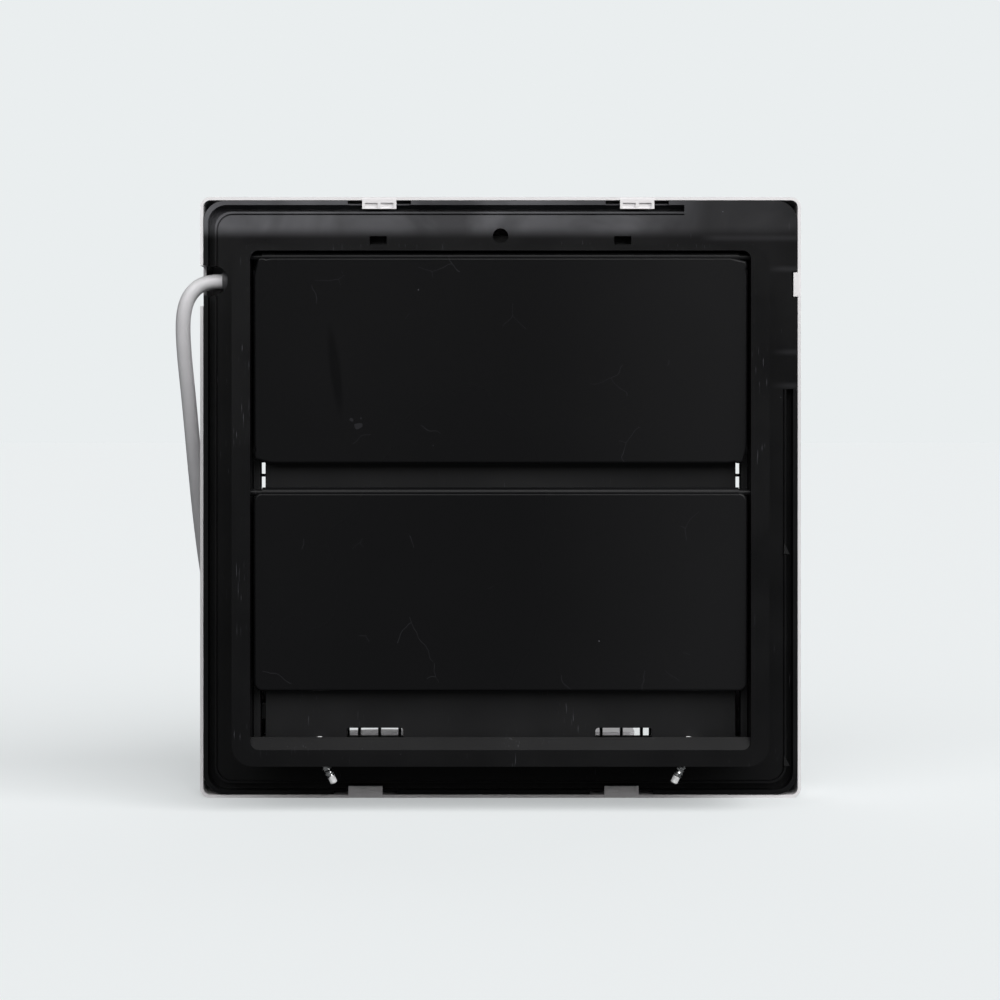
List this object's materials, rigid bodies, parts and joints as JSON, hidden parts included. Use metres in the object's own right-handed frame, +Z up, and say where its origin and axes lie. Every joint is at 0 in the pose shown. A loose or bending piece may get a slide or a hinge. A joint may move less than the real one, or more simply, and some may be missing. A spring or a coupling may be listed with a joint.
{
  "type": "bathroom extractor fan",
  "caption": "Square wall or window extractor fan: black rear housing with a duct collar and gravity flaps, white front frame and cover, power cord with plug.",
  "frame": {"origin": "on the surface that the fan stands on, below its middle, in the wall plane where the rear flange meets the wall", "axes": "+Z up, -Y outdoors through the collar and flaps, +Y into the room, +X to the right as seen from outdoors"},
  "size_m": [0.3029, 0.232, 0.29],
  "materials": {
    "black_housing": "satin moulded polypropylene",
    "black_flap": "fine satin moulded plastic",
    "white_cover": "soft gloss moulded ABS",
    "black_impeller": "satin moulded plastic",
    "galvanised_steel": "galvanised",
    "zinc_screw": "bright zinc plate",
    "bright_steel": "ground",
    "lamination_steel": "stamped sheet edges",
    "copper_wire": "enamelled copper wire",
    "bearing_bronze": "sintered bronze",
    "brass_terminal": "machined",
    "terminal_nylon": "natural nylon",
    "cord_sheath": "light grey PVC sheath",
    "core_insulation": "PVC insulation",
    "grey_rubber": "moulded rubber",
    "capacitor_case": "resin filled case",
    "plug_pin_metal": "nickel plate"
  },
  "bodies": {
    "fan_body": {"rear_housing": "black_housing", "shutter_frame": "black_housing", "orifice_plate": "black_housing", "wiring_box": "black_housing", "wiring_box_lid": "black_housing", "cord_clamp": "black_housing", "front_frame": "white_cover", "intake_grille": "white_cover", "motor_bracket": "galvanised_steel", "motor_rear_shell": "galvanised_steel", "motor_front_shell": "galvanised_steel", "orifice_screws": "galvanised_steel", "bracket_screws": "galvanised_steel", "lid_screw": "galvanised_steel", "clamp_screws": "galvanised_steel", "capacitor_screw": "galvanised_steel", "fixing_screws": "zinc_screw", "stator_core": "lamination_steel", "stator_windings": "copper_wire", "rear_bearing": "bearing_bronze", "front_bearing": "bearing_bronze", "terminal_screws": "brass_terminal", "terminal_block": "terminal_nylon", "power_cord": "cord_sheath", "cord_coil": "cord_sheath", "plug_lead": "cord_sheath", "plug_body": "cord_sheath", "inner_cord": "cord_sheath", "cord_cores": "core_insulation", "capacitor_lead": "core_insulation", "motor_leads": "core_insulation", "cord_grommet": "grey_rubber", "run_capacitor": "capacitor_case", "plug_pins": "plug_pin_metal"},
    "upper_flap": {"upper_flap": "black_flap"},
    "lower_flap": {"lower_flap": "black_flap"},
    "rotor": {"impeller": "black_impeller", "cap_nut": "black_impeller", "motor_shaft": "bright_steel", "rotor_core": "lamination_steel", "drive_pin": "bright_steel"},
    "front_cover": {"front_cover": "white_cover"}
  },
  "joints": [
    {"name": "upper_flap_hinge", "type": "hinge", "parent": "fan_body", "child": "upper_flap", "pos_m": [0, -0.0505, 0.2578], "axis": [-1, 0, 0], "range_deg": [0, 80]},
    {"name": "lower_flap_hinge", "type": "hinge", "parent": "fan_body", "child": "lower_flap", "pos_m": [0, -0.0505, 0.1488], "axis": [-1, 0, 0], "range_deg": [0, 80]},
    {"name": "rotor_spin", "type": "hinge", "parent": "fan_body", "child": "rotor", "pos_m": [0, 0, 0.145], "axis": [0, 1, 0], "continuous": true},
    {"name": "front_cover_pull", "type": "slide", "parent": "fan_body", "child": "front_cover", "axis": [0, 1, 0], "range_m": [0, 0.03]}
  ]
}
